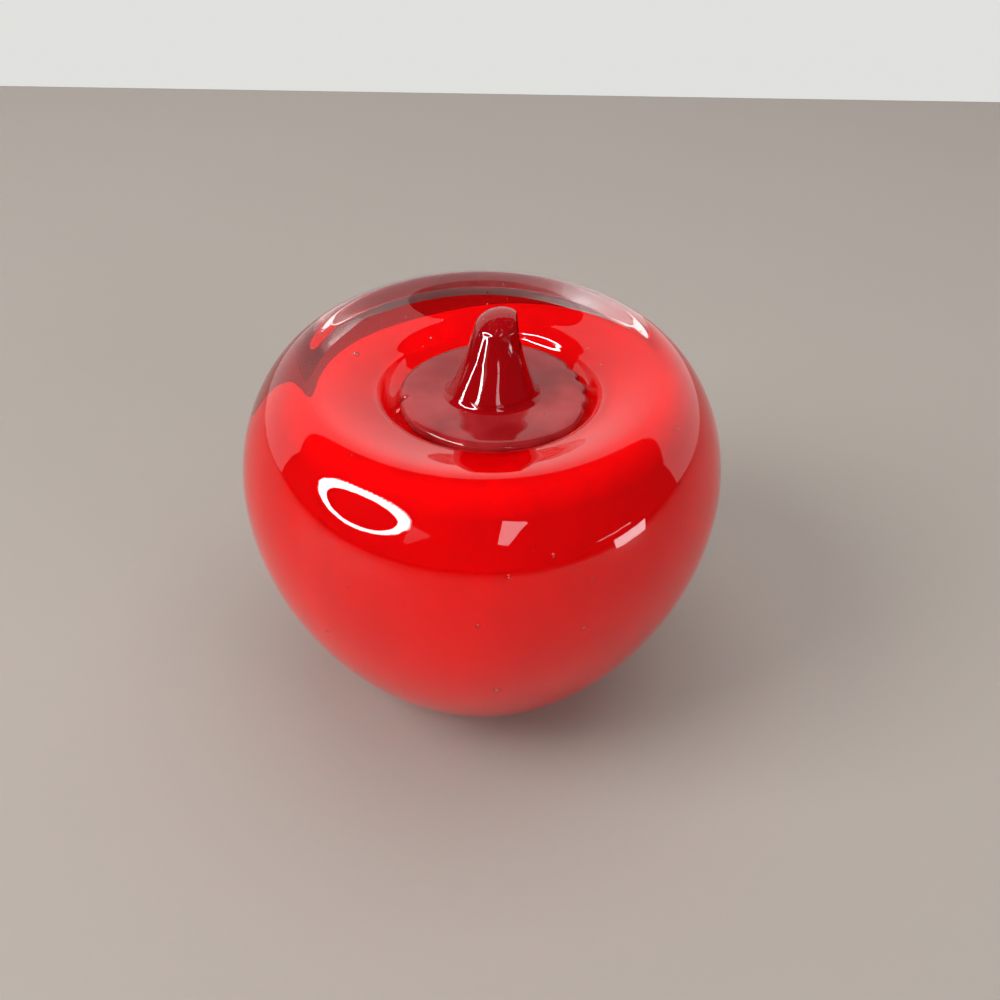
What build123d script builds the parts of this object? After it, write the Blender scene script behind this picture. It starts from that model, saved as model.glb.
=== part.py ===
from build123d import *
import os
from math import cos, hypot, pi, radians, sin

# A solid glass apple, made hot on a blowing iron and left solid as a paperweight.
# The origin is the middle of the ground base, +Z is up, and -Y faces the viewer.
# Every layer was soft when the next one went on, so neighbours meet face to face.

# Outside form of the clear glass body
body_radius = 40.0
body_widest_height = 40.9
body_shoulder_width = 11.1
body_crest_height = 61.1
body_crest_radius = body_radius - body_shoulder_width
base_radius = 18.8
base_rise_angle = 36.8
base_arris = 0.4

# Pressed dimple in the top of the body: a wide shallow bowl, and a short steep wall to its floor
dimple_floor_radius = 13.5
dimple_depth = 7.2
dimple_wall_width = 4.4
dimple_bowl_drop = 3.3
dimple_bowl_angle = 16.0
dimple_wall_angle = 61.0
dimple_edge_round = 0.5
dimple_floor_height = body_crest_height - dimple_depth
dimple_edge_radius = dimple_floor_radius + dimple_wall_width
dimple_edge_height = body_crest_height - dimple_bowl_drop

# Clear glass that lies over the red colour coat
clear_at_side = 9.5
clear_at_crown = 6.6
clear_at_base = 7.0
clear_at_base_edge = 4.3
clear_under_dimple = 4.9

# Red colour coat over the heart gather, squarer at its top corner than the body
coat_wall = 1.6
coat_corner_width = 2.3
coat_corner_drop = 3.5
coat_radius = body_radius - clear_at_side
coat_crest_radius = coat_radius - coat_corner_width
coat_crest_height = body_crest_height - clear_at_crown
coat_widest_height = coat_crest_height - coat_corner_drop
coat_base_radius = base_radius - clear_at_base_edge
coat_floor_height = dimple_floor_height - clear_under_dimple

# The coloured gather sank to one side while the clear glass went over it
coat_shift_right = 2.4
coat_shift_front = 0.7
coat_tip_front = 4.5
coat_tip_left = 3.5
coat_tip_height = (coat_crest_height + clear_at_base) / 2

# Dark ruby pad in the dimple
pad_spread = 1.7
pad_thickness = 1.75
pad_ring_rise = 0.25
pad_roll_width = 3.4
pad_edge_reach = 1.6
pad_edge_thickness = 0.6
pad_centre_right = 1.4
pad_centre_back = 0.2
pad_radius = dimple_floor_radius + pad_spread
pad_crest_radius = pad_radius - pad_roll_width
pad_seat_height = dimple_floor_height + pad_thickness
pad_crest_height = pad_seat_height + pad_ring_rise
pad_edge_height = dimple_floor_height + pad_edge_thickness

# Pulled stem, which stands on the pad's flat seat
stem_height = 13.4
stem_foot_radius = 8.1
stem_neck_radius = 4.6
stem_tip_radius = 2.7
stem_tip_lean = 1.7
stem_back_lean = 3.3
stem_shear_reach = 2.35
stem_shear_length = 11.0
stem_shear_angle = 8.0

# How far a cutting or trimming solid runs past the glass that it meets
overrun = 2.0

# Lengths of the curve handles along an outline, as shares of the span that they bend
foot_handle_share = 0.224
belly_handle_share = 0.436
body_shoulder_handle_share = 0.618
body_crown_handle_share = 0.261
coat_shoulder_handle_share = 0.55
coat_crown_handle_share = 0.45
coat_lip_handle_share = 0.35
coat_floor_handle_share = 0.36
bowl_lip_handle_share = 0.16
bowl_edge_handle_share = 0.34
wall_edge_handle_share = 0.41
wall_floor_handle_share = 0.45

# Waves of the pad's rim: how many, how deep as a share of the radius, and turned by how far
pad_wave_shares = ((1, 0.030, 40), (2, 0.012, 25), (3, 0.014, 200), (5, 0.008, 80), (7, 0.006, 10))
pad_rim_points = 28

# Stem sections, each a height share, a radius share between two named radii, and a lean share
stem_foot_shares = ((0.00, 1.00, 0.00), (0.09, 0.72, 0.02), (0.20, 0.50, 0.06), (0.33, 0.28, 0.04))
stem_neck_shares = ((0.50, 1.00, 0.00), (0.64, 0.74, 0.08), (0.78, 0.44, 0.26), (0.89, 0.14, 0.55))
stem_end_shares = ((0.955, 0.72, 0.78), (0.99, 0.36, 0.94))

# Depth of the stem's foot from front to back, as a share of its width; further up it grows round
stem_foot_depth_share = 0.82
stem_round_height_share = 0.5

# Above this share of its height the stem leans evenly to the back
stem_bend_height_share = 0.12


def apple_outline(radius, widest, crest_radius, crest, foot_radius, foot, shoulder_share,
                  crown_share, floor, dimple):
    """Half outline of an apple form: flat base, belly, shoulder, crown and dimple curves."""
    rise = radians(base_rise_angle)
    handle = foot_handle_share * hypot(radius - foot_radius, widest - foot)
    belly = Bezier(
        (foot_radius, foot),
        (foot_radius + handle * cos(rise), foot + handle * sin(rise)),
        (radius, widest - belly_handle_share * (widest - foot)),
        (radius, widest),
    )
    shoulder = Bezier(
        (radius, widest),
        (radius, widest + shoulder_share * (crest - widest)),
        (crest_radius + crown_share * (radius - crest_radius), crest),
        (crest_radius, crest),
    )
    base = Line((0, foot), (foot_radius, foot))
    middle = Line((dimple_floor_radius, floor), (0, floor))
    axis = Line((0, floor), (0, foot))
    return Plane.XZ * make_face([base, belly, shoulder, *dimple, middle, axis])


def body_dimple():
    """Curves of the body's dimple: from the crest down the bowl, round its edge and down the wall."""
    across = (cos(radians(dimple_bowl_angle)), sin(radians(dimple_bowl_angle)))
    down = (cos(radians(dimple_wall_angle)), sin(radians(dimple_wall_angle)))
    lip = body_crest_radius - dimple_edge_radius
    bowl_reach = dimple_edge_round + bowl_edge_handle_share * lip
    wall_reach = dimple_edge_round + wall_edge_handle_share * dimple_wall_width

    def beside(direction, reach):
        return (dimple_edge_radius + reach * direction[0], dimple_edge_height + reach * direction[1])

    bowl = Bezier(
        (body_crest_radius, body_crest_height),
        (body_crest_radius - bowl_lip_handle_share * lip, body_crest_height),
        beside(across, bowl_reach),
        beside(across, dimple_edge_round),
    )
    edge = Bezier(
        beside(across, dimple_edge_round),
        (dimple_edge_radius, dimple_edge_height),
        beside(down, -dimple_edge_round),
    )
    wall = Bezier(
        beside(down, -dimple_edge_round),
        beside(down, -wall_reach),
        (dimple_floor_radius + wall_floor_handle_share * dimple_wall_width, dimple_floor_height),
        (dimple_floor_radius, dimple_floor_height),
    )
    return [bowl, edge, wall]


def coat_dimple(crest, floor):
    """Curve of the coat's dimple, which follows the pressed one more softly."""
    lip = coat_crest_radius - dimple_floor_radius
    return [Bezier(
        (coat_crest_radius, crest),
        (coat_crest_radius - coat_lip_handle_share * lip, crest),
        (dimple_floor_radius + coat_floor_handle_share * lip, floor),
        (dimple_floor_radius, floor),
    )]


def body_form():
    """Whole outside of the clear glass, with its ground base and pressed dimple."""
    outline = apple_outline(body_radius, body_widest_height, body_crest_radius, body_crest_height,
                            base_radius, 0, body_shoulder_handle_share, body_crown_handle_share,
                            dimple_floor_height, body_dimple())
    blown = revolve(outline, Axis.Z)
    base_edge = blown.edges().sort_by(Axis.Z)[0]
    return chamfer(base_edge, base_arris)


def coat_form(wall):
    """Solid coloured form, taken in by a wall all round, where it lies tipped in the body."""
    crest = coat_crest_height - wall
    floor = coat_floor_height - wall
    outline = apple_outline(coat_radius - wall, coat_widest_height, coat_crest_radius, crest,
                            coat_base_radius - wall, clear_at_base + wall,
                            coat_shoulder_handle_share, coat_crown_handle_share,
                            floor, coat_dimple(crest, floor))
    upright = Pos(0, 0, -coat_tip_height) * revolve(outline, Axis.Z)
    tipped = Rot(-coat_tip_front, -coat_tip_left, 0) * upright
    return Pos(coat_shift_right, -coat_shift_front, coat_tip_height) * tipped


def pad_rim():
    """Closed wavy outline of the pad, the edge of hot glass that was pressed and let spread."""
    points = []
    for step in range(pad_rim_points):
        turn = 2 * pi * step / pad_rim_points
        reach = pad_radius
        for count, share, phase in pad_wave_shares:
            reach += pad_radius * share * cos(count * turn - radians(phase))
        points.append((reach * cos(turn), reach * sin(turn)))
    return make_face(Spline(*points, periodic=True))


def pad_dome():
    """Turned form of the pad: a flat seat for the stem, a low ring and an edge that rolls down."""
    edge = pad_radius + pad_edge_reach
    bottom = dimple_floor_height - overrun
    middle = (stem_foot_radius + pad_crest_radius) / 2
    seat = Line((0, pad_seat_height), (stem_foot_radius, pad_seat_height))
    swell = Bezier(
        (stem_foot_radius, pad_seat_height),
        (middle, pad_seat_height),
        (middle, pad_crest_height),
        (pad_crest_radius, pad_crest_height),
    )
    roll = Bezier(
        (pad_crest_radius, pad_crest_height),
        ((pad_crest_radius + edge) / 2, pad_crest_height),
        (edge, (pad_crest_height + pad_edge_height) / 2),
        (edge, pad_edge_height),
    )
    side = Line((edge, pad_edge_height), (edge, bottom))
    under = Line((edge, bottom), (0, bottom))
    axis = Line((0, bottom), (0, pad_seat_height))
    return revolve(Plane.XZ * make_face([seat, swell, roll, side, under, axis]), Axis.Z)


def pad_form():
    """Pad before the dimple shapes its underside."""
    bottom = dimple_floor_height - overrun
    rim = extrude(Pos(0, 0, bottom) * pad_rim(), pad_crest_height - bottom + overrun)
    return Pos(pad_centre_right, pad_centre_back, 0) * (pad_dome() & rim)


def stem_sections():
    """Sections up the stem: the share of its height, the radius and the share of its lean."""
    spread = stem_foot_radius - stem_neck_radius
    draw = stem_neck_radius - stem_tip_radius
    sections = []
    for height, share, lean in stem_foot_shares:
        sections.append((height, stem_neck_radius + spread * share, lean))
    for height, share, lean in stem_neck_shares:
        sections.append((height, stem_tip_radius + draw * share, lean))
    for height, share, lean in stem_end_shares:
        sections.append((height, stem_tip_radius * share, lean))
    return sections


def stem_form():
    """Pulled stem on the pad's seat: flared at its foot, leaning, and sheared off at its tip."""
    sections = []
    for height, radius, lean in stem_sections():
        flatness = (1 - stem_foot_depth_share) * max(0, 1 - height / stem_round_height_share)
        back = max(0, height - stem_bend_height_share) / (1 - stem_bend_height_share)
        place = Pos(pad_centre_right + stem_tip_lean * lean, pad_centre_back + stem_back_lean * back,
                    pad_seat_height + stem_height * height)
        sections.append(place * Ellipse(radius, radius * (1 - flatness)))
    pulled = loft(sections)
    shear = Box(stem_foot_radius, 2 * stem_foot_radius, stem_shear_length,
                align=(Align.MIN, Align.CENTER, Align.CENTER))
    tip = Pos(pad_centre_right + stem_tip_lean + stem_shear_reach, pad_centre_back + stem_back_lean,
              pad_seat_height + stem_height)
    return pulled - tip * Rot(0, -stem_shear_angle, 0) * shear


def named(solid, name):
    solid.label = name
    return solid


body = body_form()
coat_outside = coat_form(0)
heart_outside = coat_form(coat_wall)

pieces = [
    named(body - coat_outside, "clear_casing"),
    named(coat_outside - heart_outside, "red_coat"),
    named(heart_outside, "heart_gather"),
    named(pad_form() - body, "dimple_pad"),
    named(stem_form(), "pulled_stem"),
]

os.makedirs("parts", exist_ok=True)
for piece in pieces:
    export_step(piece, os.path.join("parts", piece.label + ".step"))
    box = piece.bounding_box()
    print(piece.label, round(piece.volume), "mm3, height", round(box.max.Z - box.min.Z, 2))
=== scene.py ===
# %% [markdown]
# # A solid glass apple
# The object is a paperweight of solid glass, made hot at the end of an iron. A gather of glass
# was rolled in red colour, covered with a thick layer of clear glass, pressed in at the top and
# finished with a dark ruby pad and a pulled stem. Glass looks the way it does because light bends
# and bounces inside it, so this lesson models the real layers and lets the renderer bend the light.
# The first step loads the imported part. It fixes where everything is and how big it may be.

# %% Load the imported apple
import math
import random

import bmesh
import bpy
from mathutils import Matrix, Vector
from mathutils.geometry import interpolate_bezier


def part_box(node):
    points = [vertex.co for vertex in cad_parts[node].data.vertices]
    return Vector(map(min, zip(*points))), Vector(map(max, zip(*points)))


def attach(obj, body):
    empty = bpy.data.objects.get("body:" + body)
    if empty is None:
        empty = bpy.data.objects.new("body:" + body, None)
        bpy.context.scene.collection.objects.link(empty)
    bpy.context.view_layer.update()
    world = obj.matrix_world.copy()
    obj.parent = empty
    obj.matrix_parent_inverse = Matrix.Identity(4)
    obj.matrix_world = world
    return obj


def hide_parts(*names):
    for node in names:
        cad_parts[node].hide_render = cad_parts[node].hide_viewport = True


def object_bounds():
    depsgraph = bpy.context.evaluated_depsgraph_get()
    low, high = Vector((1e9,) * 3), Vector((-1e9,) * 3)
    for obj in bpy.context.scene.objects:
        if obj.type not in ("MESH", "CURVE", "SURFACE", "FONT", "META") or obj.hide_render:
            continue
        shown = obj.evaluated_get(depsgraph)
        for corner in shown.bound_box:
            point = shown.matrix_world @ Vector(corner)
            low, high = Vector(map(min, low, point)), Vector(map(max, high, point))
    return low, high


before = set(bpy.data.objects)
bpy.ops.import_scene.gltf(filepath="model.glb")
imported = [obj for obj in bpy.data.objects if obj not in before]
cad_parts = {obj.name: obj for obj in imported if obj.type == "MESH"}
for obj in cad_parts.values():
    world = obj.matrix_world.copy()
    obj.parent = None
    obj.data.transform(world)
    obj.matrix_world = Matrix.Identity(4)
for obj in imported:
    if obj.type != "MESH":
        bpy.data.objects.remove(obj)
cad_low, cad_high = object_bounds()
print("nodes", sorted(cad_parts))
print("box in mm", [round(1000 * (high - low), 2) for low, high in zip(cad_low, cad_high)])

# %% [markdown]
# ## Sizes
# Blender works in metres here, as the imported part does. The body's radius and the top of its
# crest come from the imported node, and most other sizes repeat the real ones that the part was made
# with. The shares bend the curves of an outline, as a glassworker's wooden block bends the glass.
# The body has its tool marks too: the dimple's middle lies a millimetre to the right, and the shift
# fades out over the lip, between the two distances of `dimple_shift_reach`.

# %% Sizes of the layers
body_low, body_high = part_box("clear_casing")
body_radius = (body_high.x - body_low.x) / 2
body_widest_height = 0.0409
body_crest_height = body_high.z
body_crest_radius = body_radius - 0.0111
base_radius = 0.0188
base_rise = math.radians(36.8)
base_arris = 0.0004
dimple_floor_radius = 0.0135
dimple_floor_height = body_crest_height - 0.0072
dimple_edge_radius = dimple_floor_radius + 0.0044
dimple_edge_height = body_crest_height - 0.0033
dimple_bowl_slope = math.radians(16)
dimple_wall_slope = math.radians(65)
dimple_edge_round = 0.0016
dimple_shift = Vector((0.0010, -0.0002))
dimple_shift_reach = (0.0180, 0.0270)

core_radius = body_radius - 0.0095
core_crest_radius = core_radius - 0.0023
core_crest_height = body_crest_height - 0.0066
core_widest_height = core_crest_height - 0.0035
core_base_radius = base_radius - 0.0043
core_base_height = 0.0070
core_floor_height = dimple_floor_height - 0.0049
core_wall = 0.0016
core_shift = Vector((0.0024, -0.0007, 0))
core_tip_front = math.radians(4.5)
core_tip_left = math.radians(3.5)

foot_share = 0.224
belly_share = 0.436
body_shoulder_share = 0.58
body_crown_share = 0.38
core_shoulder_share = 0.55
core_crown_share = 0.45
core_lip_share = 0.35
core_floor_share = 0.36
bowl_lip_share = 0.16
bowl_edge_share = 0.34
wall_edge_share = 0.36
wall_floor_share = 0.36
print("body radius", round(body_radius, 4), "core radius", round(core_radius, 4))

# %% [markdown]
# ## Turning an outline
# The body and the core are both turned forms, so each starts as half an outline and is spun round
# the upright axis. A few real points with handles describe a smooth outline better than a long
# list of points would, and `interpolate_bezier` fills in the points between them. After a full
# spin the seam and the pole are merged, so that the surface is closed: glass that isn't closed has
# no inside, and light can't bend through it.

# %% Outline and spin
curve_steps = 44
turn_steps = 360
flat_steps = 6
merge_distance = 0.000001


def at(radius, height):
    """A point of a half outline."""
    return Vector((radius, 0, height))


def flat(radius, height, steps):
    """Points of a flat disc's half outline, at the given steps out from the axis."""
    return [at(radius * step / flat_steps, height) for step in steps]


def apple_outline(radius, widest, crest_radius, crest, foot_radius, foot, shoulder, crown, dimple):
    """Half outline of an apple form, from the middle of its base to the middle of its dimple."""
    handle = foot_share * math.hypot(radius - foot_radius, widest - foot)
    belly = (
        at(foot_radius, foot),
        at(foot_radius + handle * math.cos(base_rise), foot + handle * math.sin(base_rise)),
        at(radius, widest - belly_share * (widest - foot)),
        at(radius, widest),
    )
    upper = (
        at(radius, widest),
        at(radius, widest + shoulder * (crest - widest)),
        at(crest_radius + crown * (radius - crest_radius), crest),
        at(crest_radius, crest),
    )
    points = flat(foot_radius, foot, range(flat_steps))
    points += interpolate_bezier(*belly, curve_steps // 2)[:-1]
    points += interpolate_bezier(*upper, 2 * curve_steps)[:-1]
    for curve in dimple:
        points += interpolate_bezier(*curve, curve_steps * 2 // 3)[:-1]
    points += flat(dimple_floor_radius, dimple[-1][-1].z, range(flat_steps, -1, -1))
    return points


def body_dimple():
    """Curves of the pressed dimple: a wide shallow bowl, its rounded edge and a steep wall."""
    across = Vector((math.cos(dimple_bowl_slope), 0, math.sin(dimple_bowl_slope)))
    down = Vector((-math.cos(dimple_wall_slope), 0, -math.sin(dimple_wall_slope)))
    crest = at(body_crest_radius, body_crest_height)
    edge = at(dimple_edge_radius, dimple_edge_height)
    floor_edge = at(dimple_floor_radius, dimple_floor_height)
    lip = body_crest_radius - dimple_edge_radius
    width = dimple_edge_radius - dimple_floor_radius
    bowl_end = edge + dimple_edge_round * across
    wall_start = edge + dimple_edge_round * down
    bowl = (
        crest,
        crest - at(bowl_lip_share * lip, 0),
        bowl_end + bowl_edge_share * lip * across,
        bowl_end,
    )
    rounding = (bowl_end, (bowl_end + 2 * edge) / 3, (wall_start + 2 * edge) / 3, wall_start)
    wall = (
        wall_start,
        wall_start + wall_edge_share * width * down,
        floor_edge + at(wall_floor_share * width, 0),
        floor_edge,
    )
    return bowl, rounding, wall


def core_dimple(crest, floor):
    """Curve of the core's dimple, which follows the pressed one more softly."""
    lip = core_crest_radius - dimple_floor_radius
    return ((
        at(core_crest_radius, crest),
        at(core_crest_radius - core_lip_share * lip, crest),
        at(dimple_floor_radius + core_floor_share * lip, floor),
        at(dimple_floor_radius, floor),
    ),)


def turned(outline, steps=turn_steps):
    """A closed form, spun from half an outline whose two ends lie on the axis."""
    form = bmesh.new()
    points = [form.verts.new(point) for point in outline]
    edges = [form.edges.new(pair) for pair in zip(points, points[1:])]
    bmesh.ops.spin(form, geom=points + edges, cent=(0, 0, 0), axis=(0, 0, 1),
                   angle=2 * math.pi, steps=steps, use_merge=True)
    bmesh.ops.remove_doubles(form, verts=form.verts[:], dist=merge_distance)
    bmesh.ops.recalc_face_normals(form, faces=form.faces[:])
    return form


def shown(name, form):
    """Makes a form into a smooth-shaded object at the origin."""
    for face in form.faces:
        face.smooth = True
    mesh = bpy.data.meshes.new(name)
    form.to_mesh(mesh)
    form.free()
    piece = bpy.data.objects.new(name, mesh)
    bpy.context.scene.collection.objects.link(piece)
    print(name, len(mesh.polygons), "faces")
    return piece


# %% [markdown]
# ## The clear body
# Hand-made glass is never quite round. The hot body sags a little between turns of the iron, which
# is why its reflections wander. Low waves round the axis do this better than noise does, because
# they stay smooth over the whole form. Each has a count of crests, a share of the depth and a
# phase in degrees, and they twist by `sag_twist` radians a metre on the way up. They only ever take
# glass away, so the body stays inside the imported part's box.

# %% Waves of hot glass
sag_depth = 0.00028
sag_twist = 18
sag_waves = ((2, 0.5, 40), (3, 0.3, 110), (5, 0.2, 15))


def sag(point):
    """How far hot glass has sunk inwards at a point of the body."""
    turn = math.atan2(point.y, point.x)
    swing = 0
    for count, share, phase in sag_waves:
        swing += share * math.cos(count * turn - math.radians(phase) - sag_twist * point.z)
    return sag_depth * (1 - swing) / 2


def shift_dimple(form):
    """Moves the middle of the dimple a little to the right, where the tool pressed it."""
    inner, outer = dimple_shift_reach
    for vertex in form.verts:
        if vertex.co.z > body_widest_height:
            share = min(1, max(0, (outer - vertex.co.xy.length) / (outer - inner)))
            vertex.co.xy += dimple_shift * share**2 * (3 - 2 * share)


def let_sag(form):
    """Lets the waves take glass off the body, apart from its flat foot and the dimple's middle."""
    for vertex in form.verts:
        reach = math.hypot(vertex.co.x, vertex.co.y)
        if reach > base_radius and vertex.co.z > base_arris:
            fade = min(1, (reach - base_radius) / base_radius)
            inward = Vector((vertex.co.x, vertex.co.y, 0)) / reach
            vertex.co -= inward * sag(vertex.co) * fade


# %% [markdown]
# ## Seeds
# Small bubbles, which glassworkers call seeds, hang in the clear layer. A bubble is a place where
# the glass stops, so it is a little sphere turned inside out, in the same mesh as the body: its
# faces point into the bubble, away from the glass. The large ones stand about where the photograph
# shows them. Each has a turn in degrees, and a distance from the axis, a height and a width in
# millimetres. A seeded random draw scatters fine ones between the core and the skin.

# %% Seeds in the clear layer
large_seeds = (
    (-85, 33, 24, 1.3),
    (-90, 36, 40, 0.7),
    (-65, 36, 37, 0.7),
    (-83, 35, 48, 0.7),
    (-72, 34, 50, 0.7),
    (-130, 35, 30, 0.6),
    (160, 23, 56, 1.1),
    (-20, 31, 56, 0.6),
)
seed_roundness = 2
fine_seed_count = 60
fine_seed_draw = 7
fine_seed_depths = (0.0015, 0.0060)
fine_seed_sizes = (0.00014, 0.00040)
fine_seed_clear_radius = 1.2 * dimple_floor_radius
fine_seed_low_height = 0.2 * body_crest_height


def add_seed(form, place, size):
    """Adds one bubble: a small ball whose faces point inwards."""
    ball = bmesh.ops.create_icosphere(form, subdivisions=seed_roundness, radius=size / 2,
                                      matrix=Matrix.Translation(place))
    skin = {face for vertex in ball["verts"] for face in vertex.link_faces}
    bmesh.ops.reverse_faces(form, faces=list(skin))


def add_fine_seeds(form, skin_points):
    """Adds fine bubbles, each a little under a point of the skin."""
    draw = random.Random(fine_seed_draw)
    for _ in range(fine_seed_count):
        point, normal = draw.choice(skin_points)
        depth = draw.uniform(*fine_seed_depths)
        add_seed(form, point - normal * depth, draw.uniform(*fine_seed_sizes))


# %% Clear body
arris_steps = 3
rim_tolerance = 0.00001
body_form = turned(apple_outline(body_radius, body_widest_height, body_crest_radius,
                                 body_crest_height, base_radius, 0, body_shoulder_share,
                                 body_crown_share, body_dimple()))
base_edges = [
    edge for edge in body_form.edges
    if all(abs(end.co.z) < merge_distance and abs(end.co.xy.length - base_radius) < rim_tolerance
           for end in edge.verts)
]
bmesh.ops.bevel(body_form, geom=base_edges, offset=base_arris, offset_type="OFFSET",
                affect="EDGES", segments=arris_steps, profile=0.5, material=-1)
shift_dimple(body_form)
let_sag(body_form)
body_form.normal_update()
skin_points = [
    (vertex.co.copy(), vertex.normal.copy()) for vertex in body_form.verts
    if vertex.co.xy.length > fine_seed_clear_radius and vertex.co.z > fine_seed_low_height
]
for turn, reach, height, size in large_seeds:
    place = Matrix.Rotation(math.radians(turn), 4, "Z") @ at(reach / 1000, height / 1000)
    add_seed(body_form, place, size / 1000)
add_fine_seeds(body_form, skin_points)
clear_body = shown("clear_body", body_form)

# %% [markdown]
# ## The red core
# The coloured gather sank to one side and tipped while the clear glass went over it, so that more
# clear glass shows at the back and on the left. The core is the same kind of turned form, placed
# off centre and tipped, and its crown slumped two or three millimetres more at the back left, where
# the iron lay lowest. Its colour is dense, so it is modelled as a closed solid form: nobody sees
# into it, and the clear glass above magnifies it until it seems to fill the whole apple.

# %% Red core and the heart inside it
core_middle = (core_crest_height + core_base_height) / 2
core_place = (
    Matrix.Translation(core_shift + Vector((0, 0, core_middle)))
    @ Matrix.Rotation(-core_tip_front, 4, "X")
    @ Matrix.Rotation(-core_tip_left, 4, "Y")
    @ Matrix.Translation((0, 0, -core_middle))
)
slump_depth = 0.0026
slump_middle = Vector((-0.013, 0.025))
slump_width = 0.018
slump_foot = 0.020
left_push = 0.0004
left_push_reach = 0.025
left_push_foot = 0.025


def core_layer(wall, steps):
    """The coloured form taken in by a wall, tipped, slumped and pressed in on the left."""
    crest = core_crest_height - wall
    form = turned(apple_outline(core_radius - wall, core_widest_height, core_crest_radius, crest,
                                core_base_radius - wall, core_base_height + wall,
                                core_shoulder_share, core_crown_share,
                                core_dimple(crest, core_floor_height - wall)), steps)
    bmesh.ops.transform(form, matrix=core_place, verts=form.verts[:])
    for vertex in form.verts:
        left = min(1, max(0, -vertex.co.x) / left_push_reach)
        vertex.co.x += left_push * left * min(1, max(0, vertex.co.z - left_push_foot) / slump_foot)
        away = (vertex.co.xy - slump_middle).length / slump_width
        raised = min(1, max(0, vertex.co.z - slump_foot) / slump_foot)
        vertex.co.z -= slump_depth * raised * math.exp(-away**2)
    return form


red_core = shown("red_core", core_layer(0, turn_steps // 2))
heart = shown("heart", core_layer(core_wall, turn_steps // 4))

# %% [markdown]
# ## The ruby pad
# A small gather of dark ruby glass was dropped into the dimple and pressed flat. It spread into a
# rim that isn't quite round, rolled over at its edge and crimped where the tool touched it. The
# pad is turned first, and then each point is moved out or in by the rim's waves, more so near the
# edge, so that the middle stays flat for the stem. A wave has a count, a share of the radius and a
# phase in degrees, and a crimp has a place in degrees, a depth and a width in degrees. The pad's
# underside follows the dimple and sinks a hair into the body, as fused glass does, so that no film
# of air shows between them.

# %% Pad form
pad_radius = dimple_floor_radius + 0.0017
pad_centre = Vector((0.0018, 0.0003, 0))
pad_seat_height = dimple_floor_height + 0.00175
pad_crest_height = pad_seat_height + 0.00025
pad_crest_radius = pad_radius - 0.0017
pad_side_height = dimple_floor_height + 0.0007
pad_sink = 0.00010
pad_top_roll = 0.0006
pad_side_roll = 0.0010
pad_turn_steps = 2 * turn_steps
shortest_edge = 0.0000001
pad_waves = ((2, 0.012, 25), (3, 0.010, 200), (5, 0.006, 80), (7, 0.004, 10))
pad_crimps = (
    (17, 0.0009, 4), (2, 0.0006, 3), (31, 0.0006, 4), (-12, 0.0004, 3), (188, 0.0009, 2),
)
stem_foot_radius = 0.0081
dimple_line = [
    point for curve in body_dimple() for point in interpolate_bezier(*curve, curve_steps)
]


def dimple_surface(point):
    """Height of the dimple's surface at a point."""
    reach = (point.xy - dimple_shift).length
    if reach <= dimple_floor_radius:
        return dimple_floor_height
    for outer, inner in zip(dimple_line, dimple_line[1:]):
        if inner.x < reach <= outer.x:
            share = (reach - inner.x) / (outer.x - inner.x)
            return inner.z + share * (outer.z - inner.z)
    return body_crest_height


def rim_reach(turn):
    """How far the pad's rim lies outside its mean radius, for a turn in radians."""
    reach = 0
    for count, share, phase in pad_waves:
        reach += pad_radius * share * math.cos(count * turn - math.radians(phase))
    for where, depth, width in pad_crimps:
        away = math.degrees(math.remainder(turn - math.radians(where), 2 * math.pi))
        reach -= depth * math.exp(-(away / width) ** 2)
    return reach


def pad_outline():
    """Half outline of the pad: its flat underside, rolled rim, low swell and flat middle."""
    middle = (stem_foot_radius + pad_crest_radius) / 2
    swell = (
        at(stem_foot_radius, pad_seat_height),
        at(middle, pad_seat_height),
        at(middle, pad_crest_height),
        at(pad_crest_radius, pad_crest_height),
    )
    roll = (
        at(pad_crest_radius, pad_crest_height),
        at(pad_radius - pad_top_roll, pad_crest_height),
        at(pad_radius, pad_side_height + pad_side_roll),
        at(pad_radius, pad_side_height),
    )
    points = flat(pad_radius, dimple_floor_height - pad_sink, range(flat_steps + 1))
    points += interpolate_bezier(*reversed(roll), curve_steps // 2)[:-1]
    points += interpolate_bezier(*reversed(swell), curve_steps // 4)
    points += flat(stem_foot_radius, pad_seat_height, range(flat_steps - 1, -1, -1))
    return points


pad_form = turned(pad_outline(), pad_turn_steps)
for vertex in pad_form.verts:
    reach = vertex.co.xy.length
    if reach > stem_foot_radius:
        share = (reach - stem_foot_radius) / (pad_radius - stem_foot_radius)
        turn = math.atan2(vertex.co.y, vertex.co.x)
        vertex.co.xy *= 1 + rim_reach(turn) * share**2 / reach
bmesh.ops.translate(pad_form, verts=pad_form.verts[:], vec=pad_centre)
for vertex in pad_form.verts:
    vertex.co.z = max(vertex.co.z, dimple_surface(vertex.co) - pad_sink)
bmesh.ops.dissolve_degenerate(pad_form, edges=pad_form.edges[:], dist=shortest_edge)
ruby_pad = shown("ruby_pad", pad_form)

# %% [markdown]
# ## The pulled stem
# The stem is a bit of ruby glass that was touched down on the pad, pulled up and cut off with
# shears. It spreads into a low collar where it joined the pad, leans a little to the right and more
# to the back, and ends in a slanting cut. Its wall is hollow in profile, as pulled glass is, which
# spreads the long highlight at its foot. The outline is turned as the others are. Then the foot is
# flattened from front to back, faint pull lines twist round it, its upper half bends to the right,
# and a plane cuts its tip. Each handle of the outline is a distance out and up from its own point.

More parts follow.
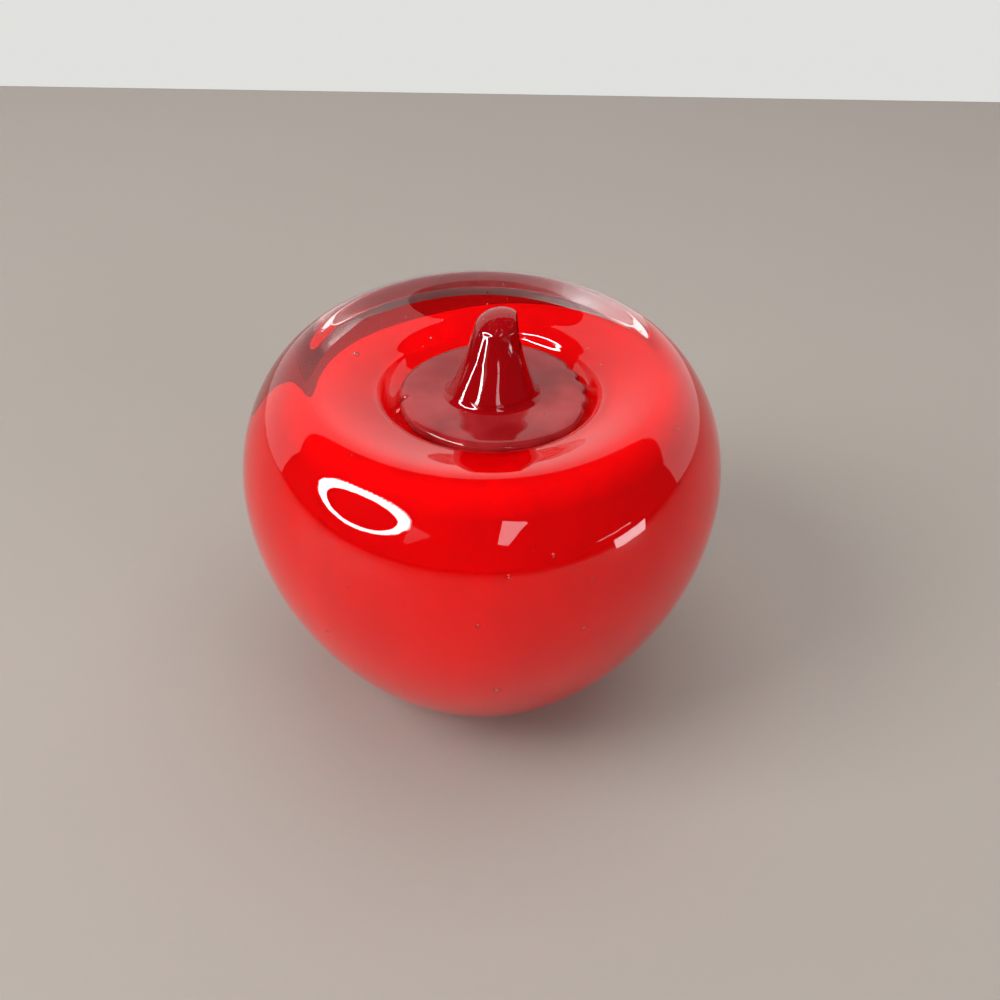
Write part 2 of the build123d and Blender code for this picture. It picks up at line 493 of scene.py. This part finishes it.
# %% Stem form
stem_clearance = 0.00001
stem_height = cad_high.z - pad_seat_height - stem_clearance
stem_collar_radius = 0.0066
stem_collar_height = 0.0017
stem_tip_radius = 0.0037
stem_tip_height = 0.84 * stem_height
stem_crown_radius = 0.59 * stem_tip_radius
stem_foot_handle = at(-0.00045, 0.00015)
stem_collar_low_handle = at(0.00055, -0.0011)
stem_collar_high_handle = at(-0.0013, 0.0027)
stem_tip_low_handle = at(0.00025, -0.0033)
stem_tip_high_handle = at(-0.0002, 0.0012)
stem_turn_steps = 160
stem_lean = 0.0013
stem_lean_power = 2.5
stem_back_lean = 0.0033
stem_bend_height = 0.10
stem_foot_shift = 0.0003
stem_shift_height = 0.0060
stem_sink = 0.0003
stem_foot_depth = 0.80
stem_round_height = 0.85
shear_reach = 0.0019
shear_angle = math.radians(8)
shear_start = 0.6
pull_line_depth = 0.00004
pull_line_count = 7
pull_line_twist = 1.2
pull_line_clear_radius = 4 * pull_line_depth
stem_foot = pad_centre + Vector((0, 0, pad_seat_height))


def stem_outline():
    """Half outline of the stem: its flat foot, the collar, the hollow wall and the rounded tip."""
    foot = at(stem_foot_radius, 0)
    collar_top = at(stem_collar_radius, stem_collar_height)
    tip_edge = at(stem_tip_radius, stem_tip_height)
    collar = (foot, foot + stem_foot_handle, collar_top + stem_collar_low_handle, collar_top)
    wall = (
        collar_top,
        collar_top + stem_collar_high_handle,
        tip_edge + stem_tip_low_handle,
        tip_edge,
    )
    crown = (
        tip_edge,
        tip_edge + stem_tip_high_handle,
        at(stem_crown_radius, stem_height),
        at(0, stem_height),
    )
    points = flat(stem_foot_radius, -stem_sink, range(flat_steps + 1))
    for curve in (collar, wall):
        points += interpolate_bezier(*curve, curve_steps)[:-1]
    points += interpolate_bezier(*crown, curve_steps // 2)
    return points


stem_form = turned(stem_outline(), stem_turn_steps)
for vertex in stem_form.verts:
    height = max(0, vertex.co.z) / stem_height
    turn = math.atan2(vertex.co.y, vertex.co.x) - pull_line_twist * height
    line = (1 - math.cos(pull_line_count * turn)) / 2
    pull = pull_line_depth * math.sin(math.pi * min(1, height)) * line
    reach = vertex.co.xy.length
    if reach > pull_line_clear_radius:
        vertex.co.xy *= 1 - pull / reach
    vertex.co.y *= 1 - (1 - stem_foot_depth) * max(0, 1 - height / stem_round_height)
    vertex.co.x += stem_lean * max(0, 2 * height - 1) ** stem_lean_power
    vertex.co.x -= stem_foot_shift * max(0, 1 - vertex.co.z / stem_shift_height)
    vertex.co.y += stem_back_lean * max(0, height - stem_bend_height) / (1 - stem_bend_height)
shear_point = Vector((stem_lean + shear_reach, 0, stem_height))
shear_normal = Vector((math.cos(shear_angle), 0, math.sin(shear_angle)))
tip_faces = [
    face for face in stem_form.faces
    if all(corner.co.z > shear_start * stem_height for corner in face.verts)
]
tip_edges = list({edge for face in tip_faces for edge in face.edges})
tip_points = list({corner for face in tip_faces for corner in face.verts})
cut = bmesh.ops.bisect_plane(stem_form, geom=tip_points + tip_edges + tip_faces,
                             plane_co=shear_point, plane_no=shear_normal, clear_outer=True)
cut_edges = [item for item in cut["geom_cut"] if isinstance(item, bmesh.types.BMEdge)]
print("edges cut by the shears", len(cut_edges))
if cut_edges:
    bmesh.ops.edgeloop_fill(stem_form, edges=cut_edges)
bmesh.ops.recalc_face_normals(stem_form, faces=stem_form.faces[:])
bmesh.ops.translate(stem_form, verts=stem_form.verts[:], vec=stem_foot)
ruby_stem = shown("ruby_stem", stem_form)

# %% [markdown]
# ## Writing materials as sums
# A shader is a small calculation that runs at every point of a surface. `Wire` stands for one
# output of a node, and sums on wires add the Math nodes that work them out. `Finish` is one
# material, and its `node` method makes any other node. The scale of a noise is its crests to the
# metre, so a scale of 1000 gives grain of about a millimetre.

# %% Wire and Finish
class Wire:
    """One output of a shader node. Sums on it add Math nodes to the same finish."""

    def __init__(self, finish, socket):
        self.finish = finish
        self.socket = socket

    def math(self, operation, *terms):
        return self.finish.node("ShaderNodeMath", {"operation": operation}, dict(enumerate(terms)))

    def __add__(self, other):
        return self.math("ADD", self, other)

    def __sub__(self, other):
        return self.math("SUBTRACT", self, other)

    def __rsub__(self, other):
        return self.math("SUBTRACT", other, self)

    def __mul__(self, other):
        return self.math("MULTIPLY", self, other)

    __radd__ = __add__
    __rmul__ = __mul__

    def ramp(self, low, high):
        """0 where this is under low and 1 where it is over high, with a smooth step."""
        return self.finish.node("ShaderNodeMapRange", {"interpolation_type": "SMOOTHSTEP"},
                                {"Value": self, "From Min": low, "From Max": high})


class Finish:
    """One material, with its Principled shader."""

    def __init__(self, name, **constants):
        self.material = bpy.data.materials.new(name)
        self.material.use_nodes = True
        self.tree = self.material.node_tree
        self.shader = self.tree.nodes["Principled BSDF"]
        self.output = self.tree.nodes["Material Output"]
        for label, value in constants.items():
            self.shader.inputs[label.replace("_", " ")].default_value = value

    def node(self, kind, settings=None, inputs=None, output=0):
        """Makes a node with its settings, fills its sockets, and returns an output as a wire."""
        made = self.tree.nodes.new(kind)
        for label, value in (settings or {}).items():
            setattr(made, label, value)
        for label, value in (inputs or {}).items():
            if isinstance(value, Wire):
                self.tree.links.new(value.socket, made.inputs[label])
            else:
                made.inputs[label].default_value = value
        return Wire(self, made.outputs[output])

    def feed(self, label, wire):
        self.tree.links.new(wire.socket, self.shader.inputs[label])

    def point(self):
        """The point of the surface in the object's own metres."""
        return self.node("ShaderNodeTexCoord", output="Object")

    def height(self, point):
        return self.node("ShaderNodeSeparateXYZ", inputs={"Vector": point}, output="Z")

    def stretched(self, point, rise):
        """The point with its height scaled down, which draws noise out upwards."""
        return self.node("ShaderNodeVectorMath", {"operation": "MULTIPLY"},
                         {0: point, 1: (1, 1, rise)})

    def noise(self, point, scale, detail):
        return self.node("ShaderNodeTexNoise",
                         inputs={"Vector": point, "Scale": scale, "Detail": detail})

    def blend(self, share, first, second):
        """A colour between two colours."""
        return self.node("ShaderNodeMix", {"data_type": "RGBA"},
                         {0: share, 6: first, 7: second}, output=2)

    def bump(self, height, depth):
        return self.node("ShaderNodeBump",
                         inputs={"Height": height, "Distance": depth, "Strength": 1.0})


def dress(piece, finish, slot, *nodes):
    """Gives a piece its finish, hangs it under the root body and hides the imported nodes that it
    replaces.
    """
    piece.data.materials.clear()
    piece.data.materials.append(finish.material)
    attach(piece, "root")
    if nodes:
        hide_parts(*nodes)


# %% [markdown]
# ## Clear glass
# Clear glass is a Principled shader with full transmission and the index of soda glass, about 1.5.
# Its skin is fire polished, so it is perfectly smooth, apart from the foot: the base was ground
# flat and is frosted, and the glass just above it is dulled by years of standing on shelves.

# %% Clear glass finish
glass_index = 1.5
frost_heights = (0.0001, 0.0009)
frost_roughness = 0.45
frost_depth = 0.00004
wear_heights = (0.0010, 0.0050)
wear_roughness = 0.12

clear_glass = Finish("clear_glass", Base_Color=(1, 1, 1, 1), Transmission_Weight=1,
                     IOR=glass_index)
point = clear_glass.point()
height = clear_glass.height(point)
grain = clear_glass.noise(point, 900, 4)
frost = 1 - height.ramp(*frost_heights)
scuffs = clear_glass.noise(point, 260, 3).ramp(0.52, 0.72)
shelf_wear = (1 - height.ramp(*wear_heights)) * scuffs
clear_glass.feed("Roughness", frost * frost_roughness + shelf_wear * wear_roughness)
clear_glass.feed("Normal", clear_glass.bump(grain * frost, frost_depth))
dress(clear_body, clear_glass, "clear_glass", "clear_casing")

# %% [markdown]
# ## Red colour
# The core is an opaque red, with no shine of its own, because it touches glass and not air. The
# colour was rolled on as powder and chips, so it is a little thicker in some places: long soft
# streaks that follow the turning of the iron, a few shades deeper.

# %% Red finish
red_bright = (0.90, 0.0003, 0.0008, 1)
red_deep = (0.56, 0.0, 0.002, 1)
red_streak_share = 0.30
red_cord_share = 0.10
red_stretch = 0.35

red_colour = Finish("red_colour", Roughness=0.9, Specular_IOR_Level=0.0)
drawn = red_colour.stretched(red_colour.point(), red_stretch)
streaks = red_colour.noise(drawn, 55, 4).ramp(0.35, 0.75)
cords = red_colour.noise(drawn, 240, 3).ramp(0.45, 0.80)
thickness = streaks * red_streak_share + cords * red_cord_share
red_colour.feed("Base Color", red_colour.blend(thickness, red_bright, red_deep))
dress(red_core, red_colour, "red_glass", "red_coat")

# %% [markdown]
# ## Ruby glass
# Ruby glass is coloured all through: thin edges glow red and thick parts go almost black. About a
# third of the light goes in, where the volume darkens it by the distance that it travels. The rest
# comes back from the skin, because this ruby is a little milky. The pad has low waves and fine dust
# pressed into it, and the shears left the stem's end frosted, with fine scratches.

# %% Ruby finishes
ruby_passes = (0.86, 0.0, 0.14, 1)
ruby_goes_in = 0.35
pad_density = 400
pad_clear_colour = (0.33, 0.008, 0.010, 1)
pad_milky_colour = (0.50, 0.032, 0.036, 1)
pad_dust_roughness = 0.25
pad_haze_roughness = 0.09
pad_dust_height = 0.10
pad_bump_depth = 0.00028
stem_density = 500
stem_colour = (0.42, 0.0006, 0.003, 1)
stem_frost_shares = (0.72, 0.98)
stem_stretch = 0.25
stem_scratch_roughness = 0.35
stem_wave_height = 0.2
stem_bump_depth = 0.00008


def ruby(name, density, **constants):
    """A finish whose volume soaks up all but red and a little blue."""
    finish = Finish(name, IOR=glass_index, Transmission_Weight=ruby_goes_in, **constants)
    depth = finish.node("ShaderNodeVolumeAbsorption",
                        inputs={"Color": ruby_passes, "Density": density})
    finish.tree.links.new(depth.socket, finish.output.inputs["Volume"])
    return finish


pad_glass = ruby("pad_ruby", pad_density)
point = pad_glass.point()
milk = pad_glass.noise(point, 110, 2).ramp(0.35, 0.70)
dust = pad_glass.noise(point, 1500, 2).ramp(0.70, 0.78)
haze = pad_glass.noise(point, 60, 2).ramp(0.40, 0.65)
waves = pad_glass.noise(point, 150, 2)
pad_glass.feed("Base Color", pad_glass.blend(milk, pad_clear_colour, pad_milky_colour))
pad_glass.feed("Roughness", dust * pad_dust_roughness + haze * pad_haze_roughness)
pad_glass.feed("Normal", pad_glass.bump(waves + dust * pad_dust_height, pad_bump_depth))
dress(ruby_pad, pad_glass, "ruby_glass", "dimple_pad")

stem_glass = ruby("stem_ruby", stem_density, Base_Color=stem_colour)
point = stem_glass.point()
frost_start, frost_end = (stem_foot.z + share * stem_height for share in stem_frost_shares)
frost = stem_glass.height(point).ramp(frost_start, frost_end)
drawn = stem_glass.stretched(point, stem_stretch)
scratches = stem_glass.noise(drawn, 2600, 3).ramp(0.60, 0.70)
waves = stem_glass.noise(drawn, 420, 3)
stem_glass.feed("Roughness", scratches * frost * stem_scratch_roughness)
stem_glass.feed("Normal", stem_glass.bump(waves * stem_wave_height + scratches * frost,
                                          stem_bump_depth))
dress(ruby_stem, stem_glass, "ruby_glass", "pulled_stem")

# %% [markdown]
# ## The heart
# The heart is the first gather, shut in under the red. Its finish is the same streaky red a shade
# darker, because the colour over it soaks in at the join.

# %% Heart finish
heart_bright = (0.55, 0.01, 0.01, 1)
heart_deep = (0.40, 0.005, 0.008, 1)

heart_glass = Finish("heart_glass", Roughness=0.9, Specular_IOR_Level=0.0)
clouds = heart_glass.noise(heart_glass.point(), 90, 3).ramp(0.3, 0.7)
heart_glass.feed("Base Color", heart_glass.blend(clouds, heart_bright, heart_deep))
dress(heart, heart_glass, "heart_glass", "heart_gather")

# %% [markdown]
# ## Floor and backdrop
# Glass shows its surroundings more than itself. A plain pale floor and a pale wall close behind
# give it something quiet to show: the wall is what lies as a soft pale shape over the top of the
# apple, with the wall's upper edge as the shape's front edge. The wall shows an even tone to
# reflections and through the glass, a little darker straight to the camera, and takes light like a
# painted wall otherwise.

# %% Floor and backdrop
floor_size = 6.0
floor_drop = 0.00005
floor_dark = (0.325, 0.29, 0.26, 1)
floor_light = (0.35, 0.315, 0.285, 1)
wall_distance = 0.25
wall_top_rise = 1.88
wall_left = -1.2
wall_right = 1.6
wall_tone = (0.75, 0.75, 0.73, 1)
wall_reflected_tone = (1.0, 1.0, 0.98, 1)


def stage_panel(name, corners):
    """A flat panel of the set, which isn't part of the apple."""
    form = bmesh.new()
    form.faces.new([form.verts.new(corner) for corner in corners])
    panel = shown(name, form)
    return panel


half = floor_size / 2
floor = stage_panel("floor", [
    (x, y, -floor_drop) for x, y in ((-half, -half), (half, -half), (half, half), (-half, half))
])
wall_top = wall_top_rise * wall_distance
wall = stage_panel("backdrop", [
    (x, wall_distance, z)
    for x, z in ((wall_left, 0), (wall_right, 0), (wall_right, wall_top), (wall_left, wall_top))
])

floor_paint = Finish("floor_paint", Roughness=0.6, Specular_IOR_Level=0.2)
clouds = floor_paint.noise(floor_paint.point(), 6, 3)
floor_paint.feed("Base Color", floor_paint.blend(clouds, floor_dark, floor_light))
floor.data.materials.append(floor_paint.material)

wall_paint = Finish("wall_paint", Base_Color=wall_tone, Roughness=0.9)
rays = wall_paint.tree.nodes.new("ShaderNodeLightPath")
to_camera, glossy, through = (
    Wire(wall_paint, rays.outputs[label])
    for label in ("Is Camera Ray", "Is Glossy Ray", "Is Transmission Ray")
)
paint = Wire(wall_paint, wall_paint.shader.outputs[0])
seen_in_glass, seen_plainly = (
    wall_paint.node("ShaderNodeEmission", inputs={"Color": tone, "Strength": 1.0})
    for tone in (wall_reflected_tone, wall_tone)
)
in_glass = wall_paint.node("ShaderNodeMixShader",
                           inputs={0: glossy + through, 1: paint, 2: seen_in_glass})
mixed = wall_paint.node("ShaderNodeMixShader",
                        inputs={0: to_camera, 1: in_glass, 2: seen_plainly})
wall_paint.tree.links.new(mixed.socket, wall_paint.output.inputs["Surface"])
wall.data.materials.append(wall_paint.material)

# %% [markdown]
# ## Light
# The room is dim above and in front, which keeps the red deep, and soft lamps light the core: one
# high on the left, one overhead, and a weak one low on the right that lifts the shaded side. They
# are hidden from reflections, because a big white panel would cover the glass. What does show in
# the glass is a ring lamp on the left and a few small bright cards, which only reflections see.

# %% Lamps
room_colour = (0.93, 0.95, 1.0, 1)
room_strength = 0.05
lamp_aim = Vector((0, 0, 0.03))
scene = bpy.context.scene
world = bpy.data.worlds.new("dim_room")
world.use_nodes = True
room = world.node_tree.nodes["Background"]
room.inputs["Color"].default_value = room_colour
room.inputs["Strength"].default_value = room_strength
scene.world = world


def soft_lamp(name, place, width, power):
    """A square lamp in metres and watts, aimed at the apple and hidden from its reflections."""
    light = bpy.data.lights.new(name, "AREA")
    light.shape = "SQUARE"
    light.size = width
    light.energy = power
    piece = bpy.data.objects.new(name, light)
    scene.collection.objects.link(piece)
    piece.location = place
    piece.rotation_euler = (lamp_aim - piece.location).to_track_quat("-Z", "Y").to_euler()
    piece.visible_camera = False
    piece.visible_glossy = False


soft_lamp("left_softbox", (-0.55, -0.25, 0.60), 0.45, 5.6)
soft_lamp("overhead_softbox", (0.10, 0.0, 0.85), 0.90, 5.4)
soft_lamp("low_fill", (0.45, -0.40, 0.22), 0.35, 1.6)

# %% [markdown]
# The ring lamp is a flat band with small teeth round its outer edge, as a ring of many little
# lights has. Where it stands and faces was worked out from the mirror image that it should make on
# the left shoulder.

# %% Ring lamp
ring_middle = Vector((-0.269, -0.189, 0.154))
ring_facing = Vector((0.337, 0.059, -0.940))
ring_radius = 0.117
ring_width = 0.024
ring_teeth = 84
ring_tooth_height = 0.012
ring_strength = 40
glow_colour = (1.0, 0.97, 1.0, 1)


def ring_lamp():
    """A flat ring with every other point of its outer edge pushed out into a tooth."""
    form = bmesh.new()
    outer, inner = (
        bmesh.ops.create_circle(form, segments=2 * ring_teeth, radius=radius)["verts"]
        for radius in (ring_radius + ring_width / 2, ring_radius - ring_width / 2)
    )
    for vertex in outer[::2]:
        vertex.co *= 1 + ring_tooth_height / vertex.co.length
    loops = {edge for vertex in outer + inner for edge in vertex.link_edges}
    bmesh.ops.bridge_loops(form, edges=list(loops))
    facing = ring_facing.to_track_quat("Z", "Y").to_matrix().to_4x4()
    bmesh.ops.transform(form, matrix=Matrix.Translation(ring_middle) @ facing,
                        verts=form.verts[:])
    return shown("ring_lamp", form)


def only_reflected(piece, strength):
    """Makes a bright stage piece that nothing but a polished skin shows."""
    glow = Finish(piece.name + "_glow", Base_Color=(0, 0, 0, 1), Emission_Color=glow_colour,
                  Emission_Strength=strength)
    piece.data.materials.append(glow.material)
    piece.visible_camera = False
    piece.visible_diffuse = False
    piece.visible_transmission = False
    piece.visible_shadow = False


only_reflected(ring_lamp(), ring_strength)

# %% [markdown]
# Small bright things stood in front and on the right. Each is a card, put where the mirror
# direction of its glint points and turned to face the apple: a bearing from the back towards the
# right, a rise over the horizon, a width, a height, a turn in its own plane, the width of its lower
# edge as a share of the upper one, and how bright it is.

# %% Glints
glint_reach = 0.50
glint_aim = Vector((0, 0, 0.04))
glints = (
    ("front_card", 167, 27, 0.092, 0.165, 20, 0.45, 5),
    ("left_card", -151, 18, 0.090, 0.110, 25, 0.20, 0.7),
    ("right_card", 114, -2, 0.150, 0.052, 0, 0.90, 9),
    ("right_line", 121, 5, 0.150, 0.007, 0, 1.00, 4),
)
for name, bearing, rise, width, height, turn, taper, strength in glints:
    bearing, rise, turn = (math.radians(angle) for angle in (bearing, rise, turn))
    outward = Vector((math.sin(bearing) * math.cos(rise), math.cos(bearing) * math.cos(rise),
                      math.sin(rise)))
    form = bmesh.new()
    bmesh.ops.create_grid(form, x_segments=1, y_segments=1, size=0.5)
    bmesh.ops.scale(form, vec=(width, height, 1), verts=form.verts[:])
    for corner in form.verts:
        if corner.co.y < 0:
            corner.co.x *= taper
    facing = (-outward).to_track_quat("Z", "Y").to_matrix().to_4x4()
    place = Matrix.Translation(glint_aim + glint_reach * outward)
    bmesh.ops.transform(form, matrix=place @ facing @ Matrix.Rotation(turn, 4, "Z"),
                        verts=form.verts[:])
    only_reflected(shown(name, form), strength)

# %% [markdown]
# ## Camera
# The camera stands where the photographer's did: close by, a quarter of a metre off, which gives
# the apple its full, near shape, and looking down at 39 degrees. The small roll is the
# photographer's hand.

# %% Camera
camera_pitch = math.radians(39.19)
camera_roll = math.radians(0.93)
camera_reach = 0.24082
camera_aim = Vector((0.002997, 0, 0.033376))
camera_back = Vector((0, -math.cos(camera_pitch), math.sin(camera_pitch)))
lens = bpy.data.cameras.new("camera")
lens.sensor_width = 36
lens.lens = 50.4
lens.clip_start = 0.01
camera = bpy.data.objects.new("camera", lens)
scene.collection.objects.link(camera)
camera.matrix_world = (
    Matrix.Translation(camera_aim + camera_back * camera_reach)
    @ camera_back.to_track_quat("Z", "Y").to_matrix().to_4x4()
    @ Matrix.Rotation(camera_roll, 4, "Z")
)
scene.camera = camera
scene.view_settings.view_transform = "Standard"
print("camera at", [round(value, 4) for value in camera.matrix_world.translation])

# %% [markdown]
# ## Bounces
# A ray that enters thick glass near its edge can run round inside the skin many times before it
# leaves. With too few bounces it is dropped and leaves a black patch, so the limits go up.

# %% Bounces
scene.cycles.max_bounces = 24
scene.cycles.glossy_bounces = 20
scene.cycles.transmission_bounces = 24
